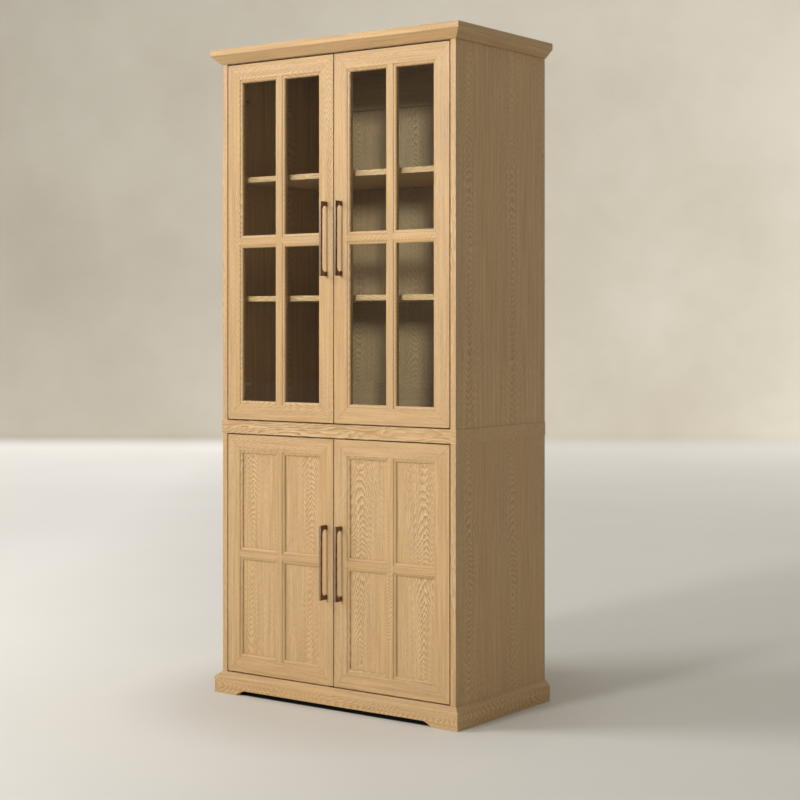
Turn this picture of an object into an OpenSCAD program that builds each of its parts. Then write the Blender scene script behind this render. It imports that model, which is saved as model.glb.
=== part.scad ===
// Two-part pantry cabinet: a glazed upper case standing on a panelled lower case.
// Millimetres, +Z up, the front towards -Y, the origin on the floor under the middle.

/* [Cases] */
// Width over the side panels
case_w = 1004; // [900:1:1200]
// Depth from the front edges of the sides to the back
case_d = 552; // [440:1:660]
// Height of the whole cabinet
total_h = 2286; // [2050:1:2400]
// Height of the joint between the lower and the upper case
joint_h = 947; // [800:1:1100]
// Thickness of a side panel
side_t = 21; // [18:0.5:26]
// Thickness of the top board and of the floor board
board_t = 21; // [16:0.5:26]
// Thickness of each of the two deck boards that meet at the joint
deck_t = 23; // [16:0.5:30]
// How far the deck boards stand proud of the case
deck_proud = 2; // [0:0.5:4]

/* [Back] */
// Thickness of the back frames
back_frame_t = 19; // [15:0.5:24]
// Height of the back rails
back_rail_h = 125; // [80:1:160]
// Width of the back stiles
back_stile_w = 60; // [40:1:90]
// Thickness of the back panels
back_panel_t = 6; // [4:0.5:8]
// How far a back panel reaches into its rebate
back_rebate = 10; // [6:0.5:14]

/* [Crown] */
// Height of the crown moulding
crown_h = 50; // [40:0.5:70]
// How far the crown stands out at its top
crown_over = 32.5; // [20:0.5:45]
// Height of the flat fascia above the splay
fascia_h = 20.5; // [12:0.5:30]
// How far the foot of the splay stands out
crown_foot = 5; // [2:0.5:10]
// Strip of the case that shows between the crown and the doors' gap
crown_reveal = 2; // [0:0.5:6]

/* [Plinth] */
// Height of the plinth, up to the floor board's top
plinth_h = 74.5; // [60:0.5:110]
// Thickness of the plinth boards
plinth_t = 21; // [16:0.5:28]
// Height of the slope along the plinth's top
plinth_slope_h = 17.5; // [8:0.5:24]
// Height of the cut-out under the plinth's front
cutout_h = 17.5; // [10:0.5:30]
// Length of a foot along the floor, from the plinth's corner
foot_len = 102; // [70:1:180]
// Run of the curve from a foot up to the cut-out
foot_curve = 40; // [30:1:70]

/* [Doors] */
// Thickness of a door
door_t = 20; // [18:0.5:24]
// Gap around each door
door_gap = 4.2; // [2:0.1:5]
// Width of the flat face of a stile or a rail
face_w = 55; // [50:1:80]
// Width of the moulded edge inside the flat face
bead_w = 11; // [8:0.5:14]
// Depth of the moulded edge, from its quirk down
bead_d = 6; // [4:0.5:8]
// Depth of the quirk beside the flat face
quirk = 1.6; // [0.8:0.1:2.5]
// Width of the flat face of a muntin
muntin_face = 22; // [16:1:40]
// Depth from the door's front to the glass or the panel
pane_depth = 8.5; // [8:0.5:11]
// How far the panes and panels reach behind the moulded edge
rebate_w = 8; // [6:0.5:9]
// Thickness of the glass
glass_t = 4; // [3:0.5:5]
// Thickness of the lower doors' panels
door_panel_t = 6; // [4:0.5:7]
// Clearance around each pane and panel in its rebate
pane_clear = 1; // [0.5:0.1:2]

/* [Handles] */
// Length of a handle
handle_len = 254; // [160:1:320]
// Depth of its grip bar from front to back
handle_bar = 10; // [7:0.5:12]
// Width of its section across the door
handle_w = 7; // [6.5:0.5:12]
// Height of its two posts
handle_post = 14; // [9:0.5:18]
// How far a handle stands out from the door
handle_reach = 35; // [28:0.5:45]
// Distance from the door's edge to the middle of its handle
handle_inset = 30; // [24:0.5:40]
// Radius of the bend inside each end
handle_bend = 16; // [6:0.5:18]
// Height by which a foot flares out on the door
handle_flare = 4.5; // [2:0.5:6]
// Diameter of the handle screws
screw_d = 4; // [3:0.5:5]

/* [Shelves] */
// Thickness of a shelf
shelf_t = 19; // [15:0.5:25]
// Underside of the low glazed shelf above the upper case's floor
shelf_low_h = 421; // [300:1:480]
// Underside of the high glazed shelf above the upper case's floor
shelf_top_h = 843; // [620:1:920]
// Underside of the lower case's shelf above its floor
lower_shelf_h = 416; // [300:1:480]
// Gap between the doors' backs and the front of a shelf
shelf_front_gap = 12; // [8:1:60]
// Gap at the ends and the back of a shelf
shelf_gap = 1.5; // [1:0.5:3]
// Diameter of a shelf pin
pin_d = 5; // [4:0.5:7]
// Spacing of the pin holes
pin_pitch = 80; // [32:1:100]
// Distance of the front pins from the case's front
pin_front = 75; // [60:1:120]
// Distance of the rear pins from the case's front
pin_rear = 485; // [330:1:490]

/* [Hinges] */
// Diameter of a hinge cup
cup_d = 35; // [30:1:35]
// Depth of the cup in the door
cup_depth = 12; // [10:0.5:13]
// Distance from the door's edge to the cup's centre
cup_inset = 22.5; // [21.5:0.5:24]
// Distance of the end hinges from the ends of a door
hinge_end = 121; // [80:1:160]
// Height of the middle hinge above the lower edge of a glazed door
hinge_mid = 628; // [400:1:750]
// Height of a hinge arm
arm_w = 11; // [8:0.5:13]

/* [Hidden] */

oak = [0.84, 0.69, 0.50];
oak_dark = [0.72, 0.58, 0.40];
bronze = [0.24, 0.15, 0.10];
steel = [0.72, 0.73, 0.74];
black = [0.12, 0.12, 0.12];
clear_glass = [0.75, 0.82, 0.80, 0.35];

// Where the case stands
reach = max(handle_reach, crown_over, plinth_t);
front_y = -(case_d - reach) / 2;
back_y = front_y + case_d;
half_w = case_w / 2;
inner_w = case_w - 2 * side_t;
inner_half = inner_w / 2;
frame_y = back_y - back_frame_t;

// Heights
lower_ceiling = joint_h - deck_t;
upper_floor = joint_h + deck_t;
crown_z = total_h - crown_h;
ceiling = crown_z - crown_reveal;
upper_top_z = ceiling + board_t;
floor_z = plinth_h - board_t;

// Doors, each in its own frame: x from the hinge edge, y back from its face, z up
door_w = (inner_w - 3 * door_gap) / 2;
upper_door_h = ceiling - upper_floor - 2 * door_gap;
lower_door_h = lower_ceiling - plinth_h - 2 * door_gap;
sight = face_w + bead_w;
muntin_half = muntin_face / 2 + bead_w;
web_half = muntin_half - rebate_w;
over = 1;

// Hinges and shelf pins
upper_door_z = upper_floor + door_gap;
lower_door_z = plinth_h + door_gap;
upper_hinge_zs = [for (z = [hinge_end, hinge_mid, upper_door_h - hinge_end]) upper_door_z + z];
lower_hinge_zs = [for (n = [0:1]) lower_door_z + hinge_end + n * (lower_door_h - 2 * hinge_end)];
hinge_zs = concat(upper_hinge_zs, lower_hinge_zs);
flange_t = 1.2;
fit_clear = 0.05;
joint_gap = 0.1;
pin_hole_depth = 10;
pin_zs = [upper_floor + shelf_low_h, upper_floor + shelf_top_h, plinth_h + lower_shelf_h];
pin_ys = [front_y + pin_front, front_y + pin_rear];
shelf_y0 = front_y + door_t + shelf_front_gap;
shelf_y1 = frame_y - shelf_gap;

// Glue blocks, corner blocks, glides and door stops
block_side = 18;
block_len = 60;
block_x = 300;
block_y = 130;
foot_side = 45;
glide_d = 30;
glide_h = 12;
stop_w = 70;
stop_d = 14;
stop_h = 12;
stop_gap = 0.5;

// Holes in the back for fixing to a wall
wall_hole_d = 6;
wall_hole_x = 200;
wall_hole_z = ceiling - back_rail_h / 2;

// Small sizes of the pins and the hinges
pin_stand = 1;
spade = 9;
spade_t = 2;
plate_t = 2.5;
plate_w = 16;
arm_t = 3;
arm_rise = 13;
arm_dip = 5.5;
cup_wall = 1.5;
flange_w = 16;
flange_len = 54;

// Screws and bolts
screw_half = (handle_len - handle_post) / 2;
screw_head_d = 8;
screw_head_t = 2.4;
screw_grip = 12;
bolt_d = 8;
bolt_head_d = 16;
bolt_head_t = 4;
bolt_xs = [-inner_half + 60, inner_half - 60];
bolt_ys = [front_y + 90, back_y - 90];

// ---- helpers ----

module block(x0, x1, y0, y1, z0, z1) {
    translate([x0, y0, z0]) cube([x1 - x0, y1 - y0, z1 - z0]);
}

// A (y, z) outline drawn out from x0 to x1
module along_x(x0, x1) {
    translate([x0, 0, 0]) rotate([90, 0, 90]) linear_extrude(x1 - x0) children();
}

// An (x, z) outline drawn out from y0 to y1
module along_y(y0, y1) {
    translate([0, y1, 0]) rotate([90, 0, 0]) linear_extrude(y1 - y0) children();
}

module mirrored() {
    children();
    mirror([1, 0, 0]) children();
}

// Plan of a front moulding with both ends mitred, and of a left one mitred in front
module front_plan(out) {
    polygon([[-half_w, front_y], [-half_w - out, front_y - out],
        [half_w + out, front_y - out], [half_w, front_y]]);
}

module left_plan(out) {
    polygon([[-half_w, back_y], [-half_w - out, back_y],
        [-half_w - out, front_y - out], [-half_w, front_y]]);
}

// ---- cases ----

// Rows of pin holes in the inner face of the left side
module pin_holes(zs) {
    for (z = zs, y = pin_ys, step = [-1:1])
        translate([-inner_half - pin_hole_depth, y, z - pin_d / 2 + step * pin_pitch])
            rotate([0, 90, 0]) cylinder(h = pin_hole_depth + over, d = pin_d, $fn = 32);
}

module upper_side() {
    color(oak) difference() {
        block(-half_w, -inner_half, front_y, back_y, upper_floor, upper_top_z);
        pin_holes([pin_zs[0], pin_zs[1]]);
    }
}

module lower_side() {
    color(oak) difference() {
        block(-half_w, -inner_half, front_y, back_y, 0, lower_ceiling);
        pin_holes([pin_zs[2]]);
    }
}

module upper_top() {
    color(oak) block(-inner_half, inner_half, front_y, back_y, ceiling, upper_top_z);
}

// Holes for the bolts that hold the two cases together
module bolt_holes(z0, z1) {
    for (x = bolt_xs, y = bolt_ys)
        translate([x, y, z0 - over]) cylinder(h = z1 - z0 + 2 * over, d = bolt_d + 2 * fit_clear, $fn = 32);
}

module deck(z0) {
    color(oak) difference() {
        block(-half_w - deck_proud, half_w + deck_proud, front_y - deck_proud, back_y, z0, z0 + deck_t);
        bolt_holes(z0, z0 + deck_t);
    }
}

module upper_deck() {
    deck(joint_h);
}

module lower_deck() {
    deck(lower_ceiling);
}

module case_bolts() {
    color(steel) for (x = bolt_xs, y = bolt_ys) translate([x, y, 0]) {
        translate([0, 0, lower_ceiling]) cylinder(h = 2 * deck_t, d = bolt_d, $fn = 32);
        translate([0, 0, lower_ceiling - bolt_head_t]) cylinder(h = bolt_head_t, d = bolt_head_d, $fn = 32);
        translate([0, 0, upper_floor]) cylinder(h = bolt_head_t, d = bolt_head_d, $fn = 32);
    }
}

module lower_floor() {
    color(oak) block(-inner_half, inner_half, front_y, back_y, floor_z, plinth_h);
}

// ---- backs ----

// Two rails between two stiles, each rebated behind for the panel
module back_frame(z0, z1) {
    open_half = inner_half - back_stile_w;
    color(oak_dark) {
        mirrored() difference() {
            block(open_half, inner_half, frame_y, back_y, z0, z1);
            back_recess(z0, z1);
        }
        for (z = [z0, z1 - back_rail_h]) difference() {
            block(-open_half + joint_gap, open_half - joint_gap, frame_y, back_y, z, z + back_rail_h);
            back_recess(z0, z1);
        }
    }
}

// Holes through the top rail of the upper back, for fixing the cabinet to a wall
module wall_holes() {
    for (x = [-wall_hole_x, wall_hole_x])
        along_y(frame_y - over, back_y + over) translate([x, wall_hole_z]) circle(d = wall_hole_d, $fn = 32);
}

module back_recess(z0, z1) {
    half = inner_half - back_stile_w + back_rebate;
    lap = back_rail_h - back_rebate;
    block(-half, half, back_y - back_panel_t, back_y + over, z0 + lap, z1 - lap);
}

module back_panel(z0, z1) {
    half = inner_half - back_stile_w + back_rebate - joint_gap;
    lap = back_rail_h - back_rebate + joint_gap;
    color(oak_dark) block(-half, half, back_y - back_panel_t, back_y, z0 + lap, z1 - lap);
}

// ---- crown and plinth ----

// Outlines of the mouldings: x is how far they stand out, y is the height
module crown_outline() {
    polygon([[0, 0], [crown_foot, 0], [crown_over, crown_h - fascia_h], [crown_over, crown_h], [0, crown_h]]);
}

module plinth_outline() {
    polygon([[0, 0], [plinth_t, 0], [plinth_t, plinth_h - plinth_slope_h], [0, plinth_h]]);
}

module front_run(z, out) {
    intersection() {
        along_x(-half_w - out - over, half_w + out + over)
            translate([front_y, z]) mirror([1, 0]) children();
        linear_extrude(total_h + over) front_plan(out + over);
    }
}

module left_run(z, out) {
    intersection() {
        along_y(front_y - out - over, back_y) translate([-half_w, z]) mirror([1, 0]) children();
        linear_extrude(total_h + over) left_plan(out + over);
    }
}

module crown_front() {
    color(oak) front_run(crown_z, crown_over) crown_outline();
}

module crown_side() {
    color(oak) left_run(crown_z, crown_over) crown_outline();
}

// Glue blocks on the top board, behind the crown
module crown_blocks() {
    color(oak_dark) {
        for (x = [-block_x, 0, block_x])
            block(x - block_len / 2, x + block_len / 2, front_y, front_y + block_side,
                upper_top_z, upper_top_z + block_side);
        mirrored() for (y = [-block_y, block_y])
            block(-half_w, -half_w + block_side, y - block_len / 2, y + block_len / 2,
                upper_top_z, upper_top_z + block_side);
    }
}

// Under edge of the plinth's front: it rises from each foot and bends flat at the top
module cutout() {
    corner = half_w + plinth_t;
    curve = [for (i = [0:8]) let (t = i / 8)
        [foot_len + foot_curve * t - corner, cutout_h * sin(90 * t)]];
    back = [for (i = [8:-1:0]) [-curve[i][0], curve[i][1]]];
    polygon(concat([[foot_len - corner, -over]], curve, back, [[corner - foot_len, -over]]));
}

module plinth_front() {
    color(oak) difference() {
        front_run(0, plinth_t) plinth_outline();
        along_y(front_y - plinth_t - over, front_y + over) cutout();
    }
}

module plinth_side() {
    color(oak) left_run(0, plinth_t) plinth_outline();
}

module plinth_back() {
    color(oak_dark) block(-inner_half, inner_half, frame_y, back_y, 0, floor_z);
}

// Corner blocks under the floor board, clear of the cut-out
module plinth_blocks() {
    color(oak_dark) mirrored() for (y = [front_y, frame_y - foot_side])
        block(-inner_half, -inner_half + foot_side, y, y + foot_side, glide_h, floor_z);
}

// A glide under each corner block, level with the plinth
module floor_glides() {
    color(black) mirrored() for (y = [front_y + foot_side / 2, frame_y - foot_side / 2])
        translate([-inner_half + foot_side / 2, y, 0]) cylinder(h = glide_h, d = glide_d, $fn = 48);
}

// Stops that the closed doors meet, above and below
module door_stops() {
    y0 = front_y + door_t + stop_gap;
    color(oak_dark) for (z = [upper_floor, ceiling - stop_h, plinth_h, lower_ceiling - stop_h])
        block(-stop_w / 2, stop_w / 2, y0, y0 + stop_d, z, z + stop_h);
}

// ---- shelves ----

module shelf(z) {
    half = inner_half - shelf_gap;
    color(oak) block(-half, half, shelf_y0, shelf_y1, z, z + shelf_t);
}

// Pins under the shelves: a peg in the side and an angle that carries the shelf
module shelf_pins() {
    x0 = -inner_half + pin_stand;
    color(steel) mirrored() for (z = pin_zs, y = pin_ys) {
        translate([-inner_half - pin_hole_depth + pin_stand, y, z - pin_d / 2])
            rotate([0, 90, 0]) cylinder(h = pin_hole_depth + pin_stand, d = pin_d - 2 * fit_clear, $fn = 32);
        block(x0, x0 + spade, y - spade / 2, y + spade / 2, z - spade_t, z);
        block(x0, x0 + spade_t, y - spade / 2, y + spade / 2, z - spade, z);
    }
}

// ---- hinges ----

// Cranked arm seen from above: x is the distance from the side, y the depth from the front
module arm_outline() {
    tip_x = door_gap + cup_inset + arm_t / 2;
    tip_y = door_t - arm_dip;
    polygon([[plate_t, 95], [arm_rise, 95], [arm_rise, door_t + 30], [tip_x, door_t + 10], [tip_x, tip_y],
        [tip_x - arm_t, tip_y], [tip_x - arm_t, door_t + 7.5], [8, door_t + 22], [plate_t, door_t + 22]]);
}

// Mounting plate with its two screws, and the arm that it carries
module hinge_arm(z) {
    translate([-inner_half, front_y, z]) {
        translate([0, 0, -arm_w / 2]) linear_extrude(arm_w) arm_outline();
        block(0, plate_t, door_t + 25, door_t + 105, -plate_w / 2, plate_w / 2);
        for (y = [door_t + 83, door_t + 98])
            translate([plate_t, y, 0]) rotate([0, 90, 0]) cylinder(h = 1.6, d = 7, $fn = 24);
    }
}

module hinge_arms() {
    color(steel) mirrored() for (z = hinge_zs) hinge_arm(z);
}

// Cup let into the back of a stile, with its flange and screws on the door's back
module cup(z) {
    back = door_t + flange_t;
    translate([cup_inset, 0, z]) {
        difference() {
            union() {
                along_y(door_t - cup_depth, back) circle(d = cup_d - 2 * fit_clear, $fn = 64);
                along_y(door_t, back) square([flange_w, flange_len], center = true);
            }
            along_y(door_t - cup_depth + cup_wall, back + over) circle(d = cup_d - 2 * cup_wall, $fn = 64);
        }
        for (side = [-1, 1]) along_y(back, back + flange_t)
            translate([0, side * (cup_d + flange_len) / 4]) circle(d = 7, $fn = 24);
    }
}

module cups(zs, door_z) {
    color(steel) for (z = zs) cup(z - door_z);
}

module cup_bores(zs, door_z) {
    for (z = zs) translate([cup_inset, 0, z - door_z])
        along_y(door_t - cup_depth, door_t + over) circle(d = cup_d, $fn = 64);
}

// ---- doors ----

// Moulded edge from the quirk to the sight line: x is across, y is the depth
function bead_curve(from) = [for (a = [0:10:90]) [from + bead_w * sin(a), quirk + bead_d * (1 - cos(a))]];

// Stile or rail from its outer edge in: a rebate behind for glass, or a groove for a panel
module glazed_outline() {
    polygon(concat([[0, 0], [face_w, 0]], bead_curve(face_w),
        [[sight, pane_depth], [sight - rebate_w, pane_depth], [sight - rebate_w, door_t], [0, door_t]]));
}

module panelled_outline() {
    groove = pane_depth + door_panel_t;
    polygon(concat([[0, 0], [face_w, 0]], bead_curve(face_w),
        [[sight, pane_depth], [sight - rebate_w, pane_depth], [sight - rebate_w, groove],
        [sight, groove], [sight, door_t], [0, door_t]]));
}

// Socket where a muntin runs into the moulded edge of a stile or a rail
module muntin_socket() {
    half = muntin_face / 2;
    polygon([[face_w, -half], [face_w, half], [sight + over, muntin_half + over],
        [sight + over, -muntin_half - over]]);
}

// Upright on the hinge edge, mitred at both ends
module stile(h) {
    difference() {
        intersection() {
            linear_extrude(h) children();
            along_y(-over, door_t + over)
                polygon([[0, 0], [sight + over, sight + over], [sight + over, h - sight - over], [0, h]]);
        }
        along_y(-over, pane_depth) translate([0, h / 2]) muntin_socket();
    }
}

// Rail along the bottom, mitred at both ends
module rail() {
    difference() {
        intersection() {
            along_x(0, door_w) mirror([1, -1]) children();
            along_y(-over, door_t + over) polygon([[0, 0], [sight + over, sight + over],
                [door_w - sight - over, sight + over], [door_w, 0]]);
        }
        along_y(-over, pane_depth) translate([door_w / 2, 0]) rotate(90) muntin_socket();
    }
}

// Screw holes for the handle, through the stile on the meeting edge
module screw_holes(h) {
    for (side = [-1, 1])
        along_y(-over, door_t + over) translate([door_w - handle_inset, h / 2 + side * screw_half])
            circle(d = screw_d + 2 * fit_clear, $fn = 32);
}

module stiles(h, zs, door_z) {
    color(oak) {
        difference() {
            stile(h) children();
            cup_bores(zs, door_z);
        }
        difference() {
            translate([door_w, 0, 0]) mirror([1, 0, 0]) stile(h) children();
            screw_holes(h);
        }
    }
}

module rails(h) {
    color(oak) {
        rail() children();
        translate([0, 0, h]) mirror([0, 0, 1]) rail() children();
    }
}

// Muntin across its width: x is across, y is the depth
module muntin_outline() {
    curve = bead_curve(muntin_face / 2);
    left = [for (i = [len(curve) - 1:-1:0]) [-curve[i][0], curve[i][1]]];
    polygon(concat([[-muntin_half, pane_depth]], left, [[-muntin_face / 2, 0], [muntin_face / 2, 0]],
        curve, [[muntin_half, pane_depth]]));
}

// Face of a muntin from z0 to z1, with a 45 degree point at each end
module muntin_front(z0, z1) {
    half = muntin_face / 2;
    polygon([[-half, z0], [half, z0], [muntin_half, z0 + bead_w], [muntin_half, z1 - bead_w],
        [half, z1], [-half, z1], [-muntin_half, z1 - bead_w], [-muntin_half, z0 + bead_w]]);
}

// Muntin with a web between the panes from web0 to web1, where there is one
module muntin(z0, z1, web0, web1) {
    intersection() {
        translate([0, 0, z0]) linear_extrude(z1 - z0) muntin_outline();
        along_y(-over, door_t + over) muntin_front(z0, z1);
    }
    if (web1 > web0) block(-web_half, web_half, pane_depth, door_t, web0, web1);
}

// Upright muntin notched for the crossing, and a crossbar on each side of it
module muntins(h, web) {
    half = muntin_face / 2;
    end = sight - rebate_w;
    wide = muntin_half + over;
    color(oak) translate([door_w / 2, 0, 0]) {
        difference() {
            muntin(face_w, h - face_w, end, web ? h - end : end);
            mirrored() along_y(-over, pane_depth) translate([0, h / 2])
                polygon([[half, -half], [half, half], [wide, wide], [wide, -wide]]);
        }
        translate([0, 0, h / 2]) mirrored() rotate([0, 90, 0])
            muntin(half + joint_gap, door_w / 2 - face_w, web_half + joint_gap, web ? door_w / 2 - end : 0);
    }
}

// Draws a piece in each of the four lights of a door
module four_lights(h) {
    translate([door_w / 2, 0, h / 2]) mirrored() {
        translate([-door_w / 2, 0, -h / 2]) children();
        mirror([0, 0, 1]) translate([-door_w / 2, 0, -h / 2]) children();
    }
}

// Opening between the rebates for one light, drawn in by a margin
module light(h, margin) {
    start = sight - rebate_w + margin;
    translate([start, start])
        square([door_w / 2 - web_half - margin - start, h / 2 - web_half - margin - start]);
}

module panes(h) {
    color(clear_glass) four_lights(h) along_y(pane_depth, pane_depth + glass_t) light(h, pane_clear);
}

// Beads that hold the panes from behind
module glass_beads(h) {
    color(oak) four_lights(h) along_y(pane_depth + glass_t, door_t) difference() {
        light(h, 0);
        light(h, rebate_w);
    }
}

// Flat panel in the groove of a lower door
module door_panel(h) {
    lap = sight - rebate_w + pane_clear;
    color(oak) block(lap, door_w - lap, pane_depth, pane_depth + door_panel_t, lap, h - lap);
}

// ---- handles ----

// Side view of a handle: x is how far it stands out, y is the height
module handle_outline() {
    leg = handle_len / 2 - handle_post;
    inner = handle_reach - handle_bar;
    foot = leg - handle_flare - over;
    difference() {
        translate([0, -handle_len / 2]) square([handle_reach, handle_len]);
        translate([-over, handle_bend - leg]) square([inner + over, 2 * (leg - handle_bend)]);
        polygon([[-over, -foot], [handle_flare, -leg], [inner - handle_bend, -leg],
            [inner - handle_bend, leg], [handle_flare, leg], [-over, foot]]);
        for (side = [-1, 1])
            translate([inner - handle_bend, side * (leg - handle_bend)]) circle(r = handle_bend, $fn = 48);
    }
}

// Handle on a door, tapped for its screws
module handle(h) {
    color(bronze) translate([door_w - handle_inset, 0, h / 2]) difference() {
        along_x(-handle_w / 2, handle_w / 2) mirror([1, 0]) handle_outline();
        for (side = [-1, 1]) along_y(-screw_grip - over, over)
            translate([0, side * screw_half]) circle(d = screw_d + 2 * fit_clear, $fn = 32);
    }
}

// Pan-head screws from behind the door into the handle
module handle_screws(h) {
    color(steel) translate([door_w - handle_inset, 0, h / 2]) for (side = [-1, 1]) {
        along_y(-screw_grip, door_t) translate([0, side * screw_half]) circle(d = screw_d, $fn = 32);
        along_y(door_t, door_t + screw_head_t) translate([0, side * screw_half])
            circle(d = screw_head_d, $fn = 32);
    }
}

// ---- places of the doors ----

module upper_left() {
    translate([-inner_half + door_gap, front_y, upper_door_z]) children();
}

module upper_right() {
    mirror([1, 0, 0]) upper_left() children();
}

module lower_left() {
    translate([-inner_half + door_gap, front_y, lower_door_z]) children();
}

module lower_right() {
    mirror([1, 0, 0]) lower_left() children();
}

module upper_stiles() {
    stiles(upper_door_h, upper_hinge_zs, upper_door_z) glazed_outline();
}

module lower_stiles() {
    stiles(lower_door_h, lower_hinge_zs, lower_door_z) panelled_outline();
}

module upper_back_frame() {
    difference() {
        back_frame(upper_floor, ceiling);
        wall_holes();
    }
}

module right() {
    mirror([1, 0, 0]) children();
}

// ---- nodes ----

upper_side();  // upper_side_left
right() upper_side();  // upper_side_right
upper_top();
upper_deck();
upper_back_frame();
back_panel(upper_floor, ceiling);  // upper_back_panel
crown_front();
crown_side();  // crown_left
right() crown_side();  // crown_right
crown_blocks();
lower_side();  // lower_side_left
right() lower_side();  // lower_side_right
lower_deck();
lower_floor();
back_frame(plinth_h, lower_ceiling);  // lower_back_frame
back_panel(plinth_h, lower_ceiling);  // lower_back_panel
plinth_front();
plinth_side();  // plinth_left
right() plinth_side();  // plinth_right
plinth_back();
plinth_blocks();
floor_glides();
case_bolts();
door_stops();
hinge_arms();
shelf_pins();
shelf(pin_zs[1]);  // upper_shelf_top
shelf(pin_zs[0]);  // upper_shelf_low
shelf(pin_zs[2]);  // lower_shelf
upper_left() upper_stiles();  // upper_left_stiles
upper_left() rails(upper_door_h) glazed_outline();  // upper_left_rails
upper_left() muntins(upper_door_h, true);  // upper_left_muntins
upper_left() panes(upper_door_h);  // upper_left_panes
upper_left() glass_beads(upper_door_h);  // upper_left_beads
upper_left() cups(upper_hinge_zs, upper_door_z);  // upper_left_cups
upper_left() handle(upper_door_h);  // upper_left_handle
upper_left() handle_screws(upper_door_h);  // upper_left_screws
upper_right() upper_stiles();  // upper_right_stiles
upper_right() rails(upper_door_h) glazed_outline();  // upper_right_rails
upper_right() muntins(upper_door_h, true);  // upper_right_muntins
upper_right() panes(upper_door_h);  // upper_right_panes
upper_right() glass_beads(upper_door_h);  // upper_right_beads
upper_right() cups(upper_hinge_zs, upper_door_z);  // upper_right_cups
upper_right() handle(upper_door_h);  // upper_right_handle
upper_right() handle_screws(upper_door_h);  // upper_right_screws
lower_left() lower_stiles();  // lower_left_stiles
lower_left() rails(lower_door_h) panelled_outline();  // lower_left_rails
lower_left() muntins(lower_door_h, false);  // lower_left_muntins
lower_left() door_panel(lower_door_h);  // lower_left_panel
lower_left() cups(lower_hinge_zs, lower_door_z);  // lower_left_cups
lower_left() handle(lower_door_h);  // lower_left_handle
lower_left() handle_screws(lower_door_h);  // lower_left_screws
lower_right() lower_stiles();  // lower_right_stiles
lower_right() rails(lower_door_h) panelled_outline();  // lower_right_rails
lower_right() muntins(lower_door_h, false);  // lower_right_muntins
lower_right() door_panel(lower_door_h);  // lower_right_panel
lower_right() cups(lower_hinge_zs, lower_door_z);  // lower_right_cups
lower_right() handle(lower_door_h);  // lower_right_handle
lower_right() handle_screws(lower_door_h);  // lower_right_screws
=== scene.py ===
# %% [markdown]
# # A two-part pantry cabinet in light oak
#
# The cabinet's boards, doors, hinges and shelves come in as a fixed frame of plain CAD
# solids. This lesson gives them their finish. Every wooden piece is copied, its edges are
# eased as a joiner would ease them, and the oak is painted by nodes, board by board.
# All lengths are in metres: the front looks towards -Y and +Z is up.

import math
import random

import bmesh
import bpy
from mathutils import Matrix, Vector


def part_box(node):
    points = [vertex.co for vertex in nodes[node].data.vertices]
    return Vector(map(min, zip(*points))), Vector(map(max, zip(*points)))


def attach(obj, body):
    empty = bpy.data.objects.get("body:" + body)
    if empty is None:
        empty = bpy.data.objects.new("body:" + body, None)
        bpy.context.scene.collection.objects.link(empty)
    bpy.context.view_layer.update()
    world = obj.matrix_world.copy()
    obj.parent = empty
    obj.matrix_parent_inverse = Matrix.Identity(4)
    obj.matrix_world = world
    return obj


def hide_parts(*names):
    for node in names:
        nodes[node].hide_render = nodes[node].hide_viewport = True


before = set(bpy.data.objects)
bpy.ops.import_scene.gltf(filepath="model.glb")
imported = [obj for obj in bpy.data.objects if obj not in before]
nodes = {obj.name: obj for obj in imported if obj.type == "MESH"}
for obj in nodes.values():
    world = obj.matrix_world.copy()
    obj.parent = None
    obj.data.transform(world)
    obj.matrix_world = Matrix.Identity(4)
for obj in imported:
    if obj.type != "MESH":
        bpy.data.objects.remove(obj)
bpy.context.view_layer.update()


# %% [markdown]
# ## Node helpers
#
# A material is a graph. Two short helpers keep the graphs readable: one adds a node and
# fills its sockets, the other does a sum on values, so that a formula reads from left to
# right. A number that stays the same all over a surface is set on the shader itself.

# %% Helpers for materials
def new_material(name):
    """An empty material with its tree, ready for nodes."""
    made = bpy.data.materials.new(name)
    made.use_nodes = True
    made.node_tree.nodes.clear()
    return made, made.node_tree


def add(tree, kind, inputs=None, **settings):
    """A node of that kind. inputs are values or output sockets, by socket name or place."""
    node = tree.nodes.new(kind)
    for key, value in settings.items():
        setattr(node, key, value)
    for key, value in (inputs or {}).items():
        if isinstance(value, bpy.types.NodeSocket):
            tree.links.new(value, node.inputs[key])
        else:
            node.inputs[key].default_value = value
    return node


def calc(tree, operation, *values, clamp=False):
    """The result of a Math node on up to three values or sockets."""
    inputs = dict(enumerate(values))
    return add(tree, "ShaderNodeMath", inputs, operation=operation, use_clamp=clamp).outputs[0]


def ramp(tree, value, stops, smooth=True):
    """A Color Ramp on a value. stops are (place, colour or grey level)."""
    node = add(tree, "ShaderNodeValToRGB", {0: value})
    band = node.color_ramp
    band.interpolation = "EASE" if smooth else "LINEAR"
    while len(band.elements) < len(stops):
        band.elements.new(0.5)
    for element, (place, colour) in zip(band.elements, stops):
        element.position = place
        element.color = (*colour, 1) if isinstance(colour, tuple) else (colour,) * 3 + (1,)
    return node.outputs[0]


def stretched_noise(tree, coords, across, along, detail=2.0, rough=0.5):
    """Noise drawn out along the grain: across and along are its frequencies per metre."""
    scaled = add(tree, "ShaderNodeVectorMath", {0: coords, 1: (across, across, along)},
                 operation="MULTIPLY").outputs[0]
    return add(tree, "ShaderNodeTexNoise",
               {"Vector": scaled, "Scale": 1.0, "Detail": detail, "Roughness": rough}).outputs[0]


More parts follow.
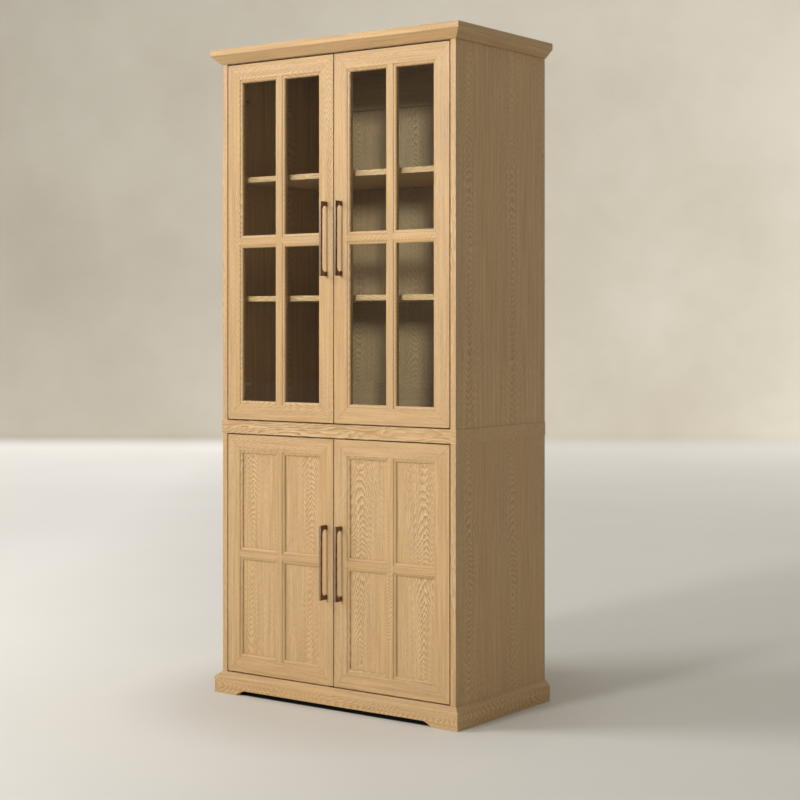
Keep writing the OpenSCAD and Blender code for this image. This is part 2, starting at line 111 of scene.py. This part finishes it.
def blend_colour(tree, share, first, second, how="MIX"):
    """Two colours mixed by a share from 0 to 1."""
    node = add(tree, "ShaderNodeMix", data_type="RGBA", blend_type=how)
    for place, value in ((0, share), (6, first), (7, second)):
        if isinstance(value, bpy.types.NodeSocket):
            tree.links.new(value, node.inputs[place])
        elif place == 0:
            node.inputs[place].default_value = value
        else:
            node.inputs[place].default_value = (*value, 1)
    return node.outputs[2]


def finish_material(tree, shader):
    add(tree, "ShaderNodeOutputMaterial", {"Surface": shader})


# %% [markdown]
# ## Oak
#
# A growth ring is a tube around the tree's heart. Where a board's face cuts the tubes at
# a flat angle, they show as tall arches, and towards its edges as straight lines. So the
# oak works out how far a point is from a wandering heart line, and lays its colour on in
# rings. Early wood is full of open pores that hold a pale filler, late wood is denser
# and a little darker. The maker lays a panel up from leaves of veneer, cut from one log,
# so a panel repeats its arches from leaf to leaf.
#
# Each board carries its own coordinates in an attribute called board: x across the face,
# y through the thickness and z along the grain. A second attribute carries painted shade
# along the bottoms of the narrow quirks and a dark joint line along each mitre.

# %% The oak material
RING = 0.0027            # width of a growth ring
LEAF = 0.262             # width of a leaf of veneer on the panels
SLOPE = 0.12             # how fast the heart line nears the face, along the grain
SWING = 0.075            # how far it swings away from the face
NEAREST = 0.006          # how close it comes
PALE_FILLER = (0.86, 0.76, 0.61)


def oak(name, light, dark, leaf=None, heart_at=0.5, figure=1.0, ring=RING):
    """Oak between a light and a dark tone, of solid boards or of veneer leaves."""
    made, tree = new_material(name)
    board = add(tree, "ShaderNodeAttribute", attribute_name="board").outputs["Vector"]
    parts = add(tree, "ShaderNodeSeparateXYZ", {0: board}).outputs
    across, through, along = parts[0], parts[1], parts[2]
    if leaf:
        place = calc(tree, "DIVIDE", across, leaf)
        which = calc(tree, "FLOOR", place)
        across = calc(tree, "MULTIPLY", calc(tree, "SUBTRACT", calc(tree, "FRACT", place), heart_at), leaf)
        along = calc(tree, "MULTIPLY_ADD", which, 0.037, along)
        through = calc(tree, "MULTIPLY_ADD", which, 0.0011, through)
    local = add(tree, "ShaderNodeCombineXYZ", {0: across, 1: through, 2: along}).outputs[0]

    # The heart line swings towards the face and away, and wanders from side to side
    swing = calc(tree, "PINGPONG", calc(tree, "MULTIPLY", along, SLOPE), SWING)
    depth_wander = stretched_noise(tree, local, 0.0, 2.6, 2.0)
    side_wander = stretched_noise(tree, local, 0.6, 1.9, 2.0)
    depth = calc(tree, "ADD", swing, calc(tree, "MULTIPLY_ADD", depth_wander, 0.03, NEAREST))
    off_heart = calc(tree, "MULTIPLY_ADD", calc(tree, "SUBTRACT", side_wander, 0.5), 0.05, across)
    below = calc(tree, "ADD", through, depth)
    distance = calc(tree, "SQRT", calc(tree, "ADD", calc(tree, "MULTIPLY", off_heart, off_heart),
                                       calc(tree, "MULTIPLY", below, below)))
    ripple = stretched_noise(tree, local, 30.0, 5.0, 3.0)
    jag = stretched_noise(tree, local, 200.0, 9.0, 2.0)
    phase = calc(tree, "DIVIDE", distance, ring)
    phase = calc(tree, "MULTIPLY_ADD", ripple, 2.6, phase)
    phase = calc(tree, "MULTIPLY_ADD", jag, 1.5, phase)
    turn = calc(tree, "FRACT", phase)

    # Early wood at the start of each ring, with a dark line where late wood ended
    early = ramp(tree, turn, [(0.0, 0.0), (0.10, 1.0), (0.42, 0.25), (0.75, 0.0)])
    late = ramp(tree, turn, [(0.0, 0.75), (0.09, 0.0), (0.55, 0.0), (1.0, 1.0)])
    show = ramp(tree, stretched_noise(tree, local, 5.0, 1.3, 2.0), [(0.3, 0.35), (0.72, 1.0)])

    pores = ramp(tree, stretched_noise(tree, local, 1100.0, 40.0, 2.0, 0.6), [(0.46, 0.0), (0.68, 1.0)])
    fibres = stretched_noise(tree, local, 120.0, 3.5, 4.0, 0.7)
    broad = stretched_noise(tree, local, 9.0, 0.9, 3.0)
    patches = stretched_noise(tree, local, 2.2, 1.6, 2.0)

    tone = calc(tree, "MULTIPLY_ADD", fibres, 2.9, calc(tree, "MULTIPLY", broad, 0.6))
    tone = calc(tree, "MULTIPLY_ADD", patches, 0.35, calc(tree, "SUBTRACT", tone, 1.47), clamp=True)
    colour = blend_colour(tree, tone, dark, light)
    shadow_line = calc(tree, "MULTIPLY", calc(tree, "MULTIPLY", late, show), 0.85 * figure)
    deep = tuple(c * k for c, k in zip(dark, (0.70, 0.64, 0.55)))
    colour = blend_colour(tree, shadow_line, colour, deep)
    filled = calc(tree, "MULTIPLY", calc(tree, "MULTIPLY", early, show),
                  calc(tree, "MULTIPLY_ADD", pores, 0.62, 0.20))
    colour = blend_colour(tree, calc(tree, "MULTIPLY", filled, figure), colour, PALE_FILLER)
    open_pores = calc(tree, "MULTIPLY", pores, calc(tree, "MULTIPLY_ADD", early, 0.16, 0.10))
    colour = blend_colour(tree, open_pores, colour, deep)
    # Painted shade at the quirk bottoms, and a dark joint line at the mitres
    quirk_shade_and_mitre_line = add(tree, "ShaderNodeAttribute", attribute_name="quirk_shade_and_mitre_line").outputs["Fac"]
    colour = blend_colour(tree, calc(tree, "MULTIPLY", quirk_shade_and_mitre_line, 0.95), colour, deep)

    height = calc(tree, "SUBTRACT", calc(tree, "MULTIPLY", late, 0.35),
                  calc(tree, "MULTIPLY", pores, calc(tree, "MULTIPLY_ADD", early, 0.9, 0.35)))
    height = calc(tree, "MULTIPLY_ADD", fibres, 0.4, height)
    bump = add(tree, "ShaderNodeBump", {"Strength": 0.35, "Distance": 0.0004, "Height": height}).outputs[0]
    rough = calc(tree, "MULTIPLY_ADD", pores, 0.16, calc(tree, "MULTIPLY_ADD", fibres, 0.14, 0.36))
    shader = add(tree, "ShaderNodeBsdfPrincipled",
                 {"Base Color": colour, "Roughness": rough, "Normal": bump, "Specular IOR Level": 0.5})
    finish_material(tree, shader.outputs[0])
    return made


HONEY_LIGHT, HONEY_DARK = (0.60, 0.386, 0.172), (0.42, 0.253, 0.100)
# Painted shade: the boards inside the cabinet take a darker copy of the same oak.
INSIDE_SHADED_LIGHT, INSIDE_SHADED_DARK = (0.37, 0.243, 0.100), (0.26, 0.159, 0.058)
oak_solid = oak("oak_solid", HONEY_LIGHT, HONEY_DARK)
oak_moulding = oak("oak_moulding", HONEY_LIGHT, HONEY_DARK, figure=0.7, ring=0.0015)
oak_panel = oak("oak_panel", HONEY_LIGHT, HONEY_DARK, leaf=LEAF, heart_at=0.30)
oak_inside = oak("oak_inside", INSIDE_SHADED_LIGHT, INSIDE_SHADED_DARK, leaf=LEAF, heart_at=0.45, figure=0.8)
print("oak materials:", [m.name for m in (oak_solid, oak_moulding, oak_panel, oak_inside)])


# %% [markdown]
# ## Bronze, nickel, glass and nylon
#
# The handles are dark bronze, with a painted highlight on the faces that look to the front. The
# hinges, pins and screws are nickel, brushed along one way. The panes are float glass: lamps
# shine through them, so their shadows stay clear, and the rest is a mirror at a flat
# angle. The glides are black nylon with the fine grain of a mould.

# %% Bronze
def bronze_finish():
    made, tree = new_material("bronze")
    coords = add(tree, "ShaderNodeTexCoord").outputs
    place = coords["Object"]
    facing = add(tree, "ShaderNodeSeparateXYZ", {0: coords["Normal"]}).outputs[1]
    # Painted highlight: the faces that look to the front get a lighter colour
    front_highlight = ramp(tree, calc(tree, "MULTIPLY", facing, -1.0), [(0.55, 0.0), (0.9, 1.0)])
    wear = add(tree, "ShaderNodeTexNoise", {"Vector": place, "Scale": 60.0, "Detail": 4.0}).outputs[0]
    brushed = add(tree, "ShaderNodeMapping", {"Vector": place, "Scale": (2600.0, 2600.0, 40.0)}).outputs[0]
    lines = add(tree, "ShaderNodeTexNoise", {"Vector": brushed, "Scale": 1.0, "Detail": 2.0}).outputs[0]
    colour = blend_colour(tree, ramp(tree, wear, [(0.35, 0.0), (0.7, 1.0)]),
                          (0.16, 0.095, 0.055), (0.27, 0.17, 0.105))
    colour = blend_colour(tree, front_highlight, colour, (0.30, 0.225, 0.155))
    rough = calc(tree, "MULTIPLY_ADD", lines, 0.12, 0.34)
    bump = add(tree, "ShaderNodeBump", {"Strength": 0.12, "Distance": 0.0002, "Height": lines}).outputs[0]
    shader = add(tree, "ShaderNodeBsdfPrincipled",
                 {"Base Color": colour, "Metallic": 0.85, "Roughness": rough, "Normal": bump})
    finish_material(tree, shader.outputs[0])
    return made


# %% Nickel
def nickel_finish():
    made, tree = new_material("nickel")
    place = add(tree, "ShaderNodeTexCoord").outputs["Object"]
    drawn = add(tree, "ShaderNodeMapping", {"Vector": place, "Scale": (1500.0, 90.0, 1500.0)}).outputs[0]
    lines = add(tree, "ShaderNodeTexNoise", {"Vector": drawn, "Scale": 1.0, "Detail": 3.0}).outputs[0]
    cloud = add(tree, "ShaderNodeTexNoise", {"Vector": place, "Scale": 45.0, "Detail": 2.0}).outputs[0]
    colour = blend_colour(tree, cloud, (0.52, 0.50, 0.47), (0.66, 0.65, 0.62))
    rough = calc(tree, "MULTIPLY_ADD", lines, 0.2, 0.22)
    bump = add(tree, "ShaderNodeBump", {"Strength": 0.1, "Distance": 0.0002, "Height": lines}).outputs[0]
    shader = add(tree, "ShaderNodeBsdfPrincipled",
                 {"Base Color": colour, "Metallic": 1.0, "Roughness": rough, "Normal": bump})
    finish_material(tree, shader.outputs[0])
    return made


# %% Glass
def glass_finish():
    made, tree = new_material("glass")
    pane = add(tree, "ShaderNodeBsdfPrincipled",
               {"Base Color": (0.93, 0.96, 0.94, 1), "Roughness": 0.0, "IOR": 1.25,
                "Transmission Weight": 1.0})
    clear = add(tree, "ShaderNodeBsdfTransparent", {"Color": (0.93, 0.95, 0.94, 1)})
    path = add(tree, "ShaderNodeLightPath").outputs
    lamps = calc(tree, "MAXIMUM", path["Is Shadow Ray"], path["Is Diffuse Ray"])
    shader = add(tree, "ShaderNodeMixShader", {0: lamps, 1: pane.outputs[0], 2: clear.outputs[0]})
    finish_material(tree, shader.outputs[0])
    return made


# %% Nylon
def nylon_finish():
    made, tree = new_material("nylon")
    place = add(tree, "ShaderNodeTexCoord").outputs["Object"]
    grain = add(tree, "ShaderNodeTexNoise", {"Vector": place, "Scale": 900.0, "Detail": 2.0}).outputs[0]
    colour = blend_colour(tree, grain, (0.018, 0.018, 0.019), (0.032, 0.032, 0.034))
    bump = add(tree, "ShaderNodeBump", {"Strength": 0.2, "Distance": 0.0003, "Height": grain}).outputs[0]
    rough = calc(tree, "MULTIPLY_ADD", grain, 0.2, 0.4)
    shader = add(tree, "ShaderNodeBsdfPrincipled",
                 {"Base Color": colour, "Roughness": rough, "Normal": bump})
    finish_material(tree, shader.outputs[0])
    return made


bronze = bronze_finish()
nickel = nickel_finish()
glass = glass_finish()
nylon = nylon_finish()
print("other materials:", [m.name for m in (bronze, nickel, glass, nylon)])


# %% [markdown]
# ## Easing the edges
#
# No real board has a knife edge: it is sanded to a small round. A CAD mesh is loose
# triangles, so a copy is merged first, and flat triangles are joined back into faces.
# Then every sharp edge that stands out is bevelled. The inner corners of a moulding stay
# crisp. The bevel's own faces also catch the light along each edge.

# %% Helpers for pieces
SHARP = math.radians(20)
MERGE = 1e-6


def copy_of(node):
    """A bmesh of a CAD node with its triangles merged back into flat faces."""
    bm = bmesh.new()
    bm.from_mesh(nodes[node].data)
    bmesh.ops.remove_doubles(bm, verts=bm.verts, dist=MERGE)
    bmesh.ops.dissolve_limit(bm, angle_limit=math.radians(0.5), verts=bm.verts, edges=bm.edges)
    return bm


def ease(bm, width, segments=2):
    """Rounds the edges that stand out by that width."""
    edges = [e for e in bm.edges
             if len(e.link_faces) == 2 and e.is_convex and e.calc_face_angle(0) > SHARP]
    bmesh.ops.bevel(bm, geom=edges, offset=width, offset_type="OFFSET", segments=segments,
                    profile=0.5, affect="EDGES", material=-1, clamp_overlap=True)


def islands(bm):
    """The separate solids of a bmesh, as lists of vertices."""
    left = set(bm.verts)
    while left:
        found, queue = [], [left.pop()]
        while queue:
            vert = queue.pop()
            found.append(vert)
            for edge in vert.link_edges:
                other = edge.other_vert(vert)
                if other in left:
                    left.discard(other)
                    queue.append(other)
        yield found


def put_in_scene(bm, name, body, material, stands_for):
    """Makes the bmesh an object that rides on a body and stands for its CAD nodes."""
    mesh = bpy.data.meshes.new(name)
    bm.to_mesh(mesh)
    bm.free()
    for face in mesh.polygons:
        face.use_smooth = False
    mesh.materials.append(material)
    piece = bpy.data.objects.new(name, mesh)
    bpy.context.scene.collection.objects.link(piece)
    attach(piece, body)
    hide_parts(*stands_for)
    return piece


# %% [markdown]
# ## Board coordinates
#
# Each solid board gets its own place in the log. Its longest side is the grain, its
# shortest is the thickness, and a random start, drawn from a seed that is the piece's
# name, sets its figure apart from its neighbour's. A veneered panel keeps its true place
# across, so that the leaves fall where the maker laid them.

# %% Lay the grain on a board
AXES = {"x": 0, "y": 1, "z": 2}
LOG_LENGTH = 40.0


def lay_grain(bm, seed, grain=None, leaves_from=None, spread=0.05):
    """Writes the board attribute. leaves_from is where the first leaf starts, for veneer."""
    layer = bm.verts.layers.float_vector.new("board")
    solids = sorted(islands(bm), key=lambda vs: tuple(round(sum(v.co[i] for v in vs) / len(vs), 3)
                                                      for i in range(3)))
    for number, verts in enumerate(solids):
        draw = random.Random(f"{seed} {number}")
        low = Vector([min(v.co[i] for v in verts) for i in range(3)])
        high = Vector([max(v.co[i] for v in verts) for i in range(3)])
        size = high - low
        thin = min(range(3), key=lambda i: size[i])
        long = AXES[grain] if grain else max(range(3), key=lambda i: size[i])
        wide = 3 - thin - long
        middle = (low + high) / 2
        start = Vector((draw.uniform(-spread, spread), draw.uniform(0, 0.012),
                        draw.uniform(0, LOG_LENGTH)))
        if leaves_from is not None:
            start.x, middle[wide] = 0.0, leaves_from
        for vert in verts:
            off = vert.co - middle
            vert[layer] = start + Vector((off[wide], off[thin], off[long]))
    return len(solids)


MITRE = 0.6              # both parts of a mitre face's normal are larger than this


def mark_quirk_shade_and_mitre_lines(bm):
    """Marks quirk bottoms for painted shade and mitre faces for a dark joint line."""
    layer = bm.verts.layers.float.new("quirk_shade_and_mitre_line")
    for edge in bm.edges:
        if len(edge.link_faces) == 2 and not edge.is_convex and edge.calc_face_angle(0) > SHARP:
            for vert in edge.verts:
                vert[layer] = 1.0
    for face in bm.faces:
        if min(abs(face.normal.x), abs(face.normal.z)) > MITRE:
            for vert in face.verts:
                vert[layer] = 1.0


def board_piece(node, body, material, slot="oak", width=0.0007, segments=2, quirk_shade_and_mitres=False, cross=0.0,
                **grain):
    """A wooden piece that stands for one CAD node, eased and with its grain laid.

    cross is how far the upright of a cross reaches from its middle: its arms have their own grain.
    """
    bm = copy_of(node)
    ease(bm, width, segments)
    # Painted shade in the quirks and a dark line along the mitres
    if quirk_shade_and_mitres:
        mark_quirk_shade_and_mitre_lines(bm)
    if cross:
        middle = sum(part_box(node), Vector()).x / 2
        arms = [f for f in bm.faces if abs(f.calc_center_median().x - middle) > cross]
        bmesh.ops.split(bm, geom=arms)
    count = lay_grain(bm, node, **grain)
    piece = put_in_scene(bm, node + "_wood", body, material, [node])
    print(f"{piece.name}: {count} board(s), {len(piece.data.polygons)} faces")
    return piece


# %% [markdown]
# ## The cases
#
# The side panels are veneered boards, so they show two leaves side by side from the front
# edge back. The two deck boards are solid, with well rounded edges, so that a dark groove
# runs round the cabinet where the cases meet. Crown and plinth are mouldings, mitred at
# the front corners.

# %% Case boards
front_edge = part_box("upper_side_left")[0].y
for side in ("left", "right"):
    for case in ("upper", "lower"):
        board_piece(f"{case}_side_{side}", "cabinet", oak_panel, grain="z", leaves_from=front_edge)
    board_piece(f"crown_{side}", "cabinet", oak_moulding, width=0.0012)
    board_piece(f"plinth_{side}", "cabinet", oak_solid, width=0.0012)
board_piece("crown_front", "cabinet", oak_moulding, width=0.0012)
board_piece("plinth_front", "cabinet", oak_solid, width=0.0012)
for node in ("upper_deck", "lower_deck"):
    board_piece(node, "cabinet", oak_solid, width=0.0030, segments=4)
board_piece("lower_floor", "cabinet", oak_solid)

# %% Backs and hidden boards
# These boards take the oak darkened as painted shade.
for node in ("upper_back_panel", "lower_back_panel"):
    board_piece(node, "cabinet", oak_inside, slot="oak_inside", grain="z",
                leaves_from=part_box(node)[0].x)
for node in ("upper_back_frame", "lower_back_frame", "upper_top", "crown_blocks", "plinth_back",
             "plinth_blocks", "door_stops"):
    board_piece(node, "cabinet", oak_inside, slot="oak_inside")

# %% Shelves
for node, body in (("upper_shelf_top", "top_shelf"), ("upper_shelf_low", "middle_shelf"),
                   ("lower_shelf", "bottom_shelf")):
    board_piece(node, body, oak_solid, width=0.001)


# %% [markdown]
# ## The doors
#
# A door's stiles and rails meet in mitres. The eased edges leave a hair-thin valley along
# each mitre, as on a real frame, and a dark joint line is painted there, with painted shade
# in the quirks. The lower panels are veneer in leaves, and the muntins are thin mouldings laid
# over them. A muntin's cross is taken apart into upright and arms, each with its own grain.

# %% Doors
MUNTIN_REACH = 0.024     # a little more than half the width of an upright muntin
DOORS = ("upper_left", "upper_right", "lower_left", "lower_right")
for door in DOORS:
    body = door + "_door"
    for part in ("stiles", "rails"):
        board_piece(f"{door}_{part}", body, oak_solid, width=0.0008, quirk_shade_and_mitres=True, spread=0.12)
    board_piece(f"{door}_muntins", body, oak_moulding, width=0.0005, quirk_shade_and_mitres=True, cross=MUNTIN_REACH)
    if door.startswith("upper"):
        board_piece(f"{door}_beads", body, oak_moulding, width=0.0005)
    else:
        node = f"{door}_panel"
        board_piece(node, body, oak_panel, grain="z", leaves_from=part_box(node)[0].x - 0.03, width=0.0004)


# %% [markdown]
# ## Handles
#
# Each handle is one bar, bent at both ends, with a small flare where it stands on the
# door. The bar's long edges are rounded, and its front carries a painted highlight.

# %% Handles
def metal_piece(node, body, material, width, segments):
    """A metal piece that stands for one CAD node, with its edges broken."""
    bm = copy_of(node)
    ease(bm, width, segments)
    piece = put_in_scene(bm, node + "_metal", body, material, [node])
    piece.data.shade_smooth()
    piece.data.set_sharp_from_angle(angle=math.radians(35))
    print(f"{piece.name}: {len(piece.data.polygons)} faces")
    return piece


for door in DOORS:
    metal_piece(f"{door}_handle", door + "_door", bronze, 0.0012, 3)
    metal_piece(f"{door}_screws", door + "_door", nickel, 0.0004, 2)
    metal_piece(f"{door}_cups", door + "_door", nickel, 0.0003, 2)

# %% Hinge arms, pins, bolts and glides
metal_piece("hinge_arms", "cabinet", nickel, 0.0004, 2)
metal_piece("shelf_pins", "cabinet", nickel, 0.0003, 2)
metal_piece("case_bolts", "cabinet", nickel, 0.0006, 2)
metal_piece("floor_glides", "cabinet", nylon, 0.0010, 3)

# %% Panes
for door in ("upper_left", "upper_right"):
    metal_piece(f"{door}_panes", door + "_door", glass, 0.0003, 1)


# %% [markdown]
# ## Floor, wall and light
#
# The cabinet stands on a pale, smooth floor that bends up into a plastered wall far behind.
# A distant lamp lights the front almost straight on, a large soft one high on the left
# throws the shadow on the floor, and a weak, warm sky fills the shade.

# %% Floor and wall
VIEW_TURN = math.radians(36)
WALL_AWAY = 12.3
STAGE_HALF = 32.0
WALL_TOP = 14.0
COVE = 0.16              # radius of the bend from the floor up to the wall
# Half size of the painted shadow on the floor under the cabinet
SHADOW_UNDER_X, SHADOW_UNDER_Y = 0.50, 0.270   # the dark floor under the cabinet
FLOOR_GLOW = 0.08
FLOOR_RISE = 0.036       # the floor grows lighter towards the wall
LEFT_RISE = -0.16        # and towards the left
WALL_GLOW = 0.38
WALL_RISE = 0.035        # the wall grows lighter towards the right


def plaster(name):
    """A pale matt floor that turns into the warmer plaster of the wall as it rises."""
    made, tree = new_material(name)
    place = add(tree, "ShaderNodeTexCoord").outputs["Object"]
    parts = add(tree, "ShaderNodeSeparateXYZ", {0: place}).outputs
    cloud = add(tree, "ShaderNodeTexNoise",
                {"Vector": place, "Scale": 0.3, "Detail": 5.0, "Roughness": 0.55}).outputs[0]
    fine = add(tree, "ShaderNodeTexNoise", {"Vector": place, "Scale": 4.0, "Detail": 3.0}).outputs[0]
    share = calc(tree, "MULTIPLY_ADD", fine, 0.25, ramp(tree, cloud, [(0.3, 0.0), (0.7, 0.8)]))
    low = blend_colour(tree, share, (0.665, 0.655, 0.635), (0.705, 0.697, 0.678))
    high = blend_colour(tree, share, (0.56, 0.51, 0.43), (0.70, 0.66, 0.58))
    height = ramp(tree, calc(tree, "MULTIPLY", parts[2], 1 / COVE), [(0.0, 0.0), (0.8, 1.0)])
    colour = blend_colour(tree, height, low, high)
    # Painted shadow: the floor under the cabinet is near black, fading out at its edges
    position = add(tree, "ShaderNodeNewGeometry").outputs["Position"]
    spot = add(tree, "ShaderNodeSeparateXYZ", {0: position}).outputs
    reach = calc(tree, "MAXIMUM", calc(tree, "ABSOLUTE", calc(tree, "DIVIDE", spot[0], SHADOW_UNDER_X)),
                 calc(tree, "ABSOLUTE", calc(tree, "DIVIDE", spot[1], SHADOW_UNDER_Y)))
    painted_shadow_under = ramp(tree, reach, [(0.96, 1.0), (0.995, 0.0)])
    colour = blend_colour(tree, painted_shadow_under, colour, (0.02, 0.018, 0.016))
    side = calc(tree, "MULTIPLY_ADD", parts[0], WALL_RISE, WALL_GLOW)
    far = calc(tree, "MULTIPLY_ADD", calc(tree, "MAXIMUM", parts[1], 0.0), FLOOR_RISE, FLOOR_GLOW)
    left = calc(tree, "MULTIPLY", calc(tree, "MINIMUM", parts[0], 0.0), LEFT_RISE)
    far = calc(tree, "ADD", far, calc(tree, "MINIMUM", left, 0.3))
    # Painted shade: the floor's glow fades out towards the cabinet's foot
    glow_fade_at_foot = ramp(tree, add(tree, "ShaderNodeVectorMath", {0: place}, operation="LENGTH").outputs[1],
                      [(0.45, 0.0), (1.0, 1.0)])
    far = calc(tree, "MULTIPLY", far, glow_fade_at_foot)
    glow = calc(tree, "MULTIPLY_ADD", height, calc(tree, "SUBTRACT", side, far), far)
    shader = add(tree, "ShaderNodeBsdfPrincipled",
                 {"Base Color": colour, "Roughness": 0.85, "Specular IOR Level": 0.2,
                  "Emission Color": colour, "Emission Strength": glow})
    finish_material(tree, shader.outputs[0])
    return made


# %% Stage
def coved_sheet(name, material):
    """One sheet that is the floor, bends up over a cove and goes on as the wall."""
    bends = [math.radians(angle) for angle in range(0, 91, 6)]
    profile = [(-STAGE_HALF, 0.0)]
    profile += [(WALL_AWAY - COVE + COVE * math.sin(t), COVE - COVE * math.cos(t)) for t in bends]
    profile += [(WALL_AWAY, WALL_TOP)]
    bm = bmesh.new()
    rows = [[bm.verts.new((side, away, up)) for away, up in profile] for side in (-STAGE_HALF, STAGE_HALF)]
    for i in range(len(profile) - 1):
        bm.faces.new((rows[0][i], rows[1][i], rows[1][i + 1], rows[0][i + 1])).smooth = True
    mesh = bpy.data.meshes.new(name)
    bm.to_mesh(mesh)
    bm.free()
    mesh.materials.append(material)
    sheet = bpy.data.objects.new(name, mesh)
    sheet.rotation_euler = (0, 0, VIEW_TURN)
    bpy.context.scene.collection.objects.link(sheet)
    return sheet


stage = coved_sheet("stage", plaster("plaster"))
print("stage:", len(stage.data.polygons), "faces")


# %% Lamps and sky
def area_lamp(name, place, target, size, power, colour, spread=180):
    """A soft square lamp at a place, turned towards a target, its beam so many degrees wide."""
    data = bpy.data.lights.new(name, "AREA")
    data.shape = "SQUARE"
    data.size = size
    data.energy = power
    data.color = colour
    data.spread = math.radians(spread)
    lamp = bpy.data.objects.new(name, data)
    lamp.location = place
    lamp.rotation_mode = "QUATERNION"
    lamp.rotation_quaternion = (Vector(target) - Vector(place)).to_track_quat("-Z", "Y")
    bpy.context.scene.collection.objects.link(lamp)
    return lamp


area_lamp("front_lamp", (-1.5, -12.1, 3.8), (0.7, -0.26, 2.1), 1.7, 76, (1.0, 0.975, 0.94), 50)
area_lamp("left_lamp", (-4.7, -3.42, 5.0), (0.0, 0.0, 0.9), 2.6, 235, (1.0, 0.98, 0.95))
sky = bpy.data.worlds.new("sky")
sky.use_nodes = True
sky.node_tree.nodes["Background"].inputs["Color"].default_value = (1.0, 0.945, 0.81, 1)
sky.node_tree.nodes["Background"].inputs["Strength"].default_value = 0.35
bpy.context.scene.world = sky
bpy.context.scene.view_settings.view_transform = "Standard"

# %% [markdown]
# ## Camera
#
# A long lens at chest height, level, to the right of the cabinet. The frame is shifted
# down a little, so that the uprights stay upright.

# %% Camera
lens = bpy.data.cameras.new("camera")
lens.lens = 78.45
lens.sensor_width = 36.0
lens.shift_y = -0.0968
lens.clip_end = 100.0
camera = bpy.data.objects.new("camera", lens)
camera.location = (3.667, -4.9215, 1.3165)
camera.rotation_euler = (math.radians(90), 0, VIEW_TURN)
bpy.context.scene.collection.objects.link(camera)
bpy.context.scene.camera = camera
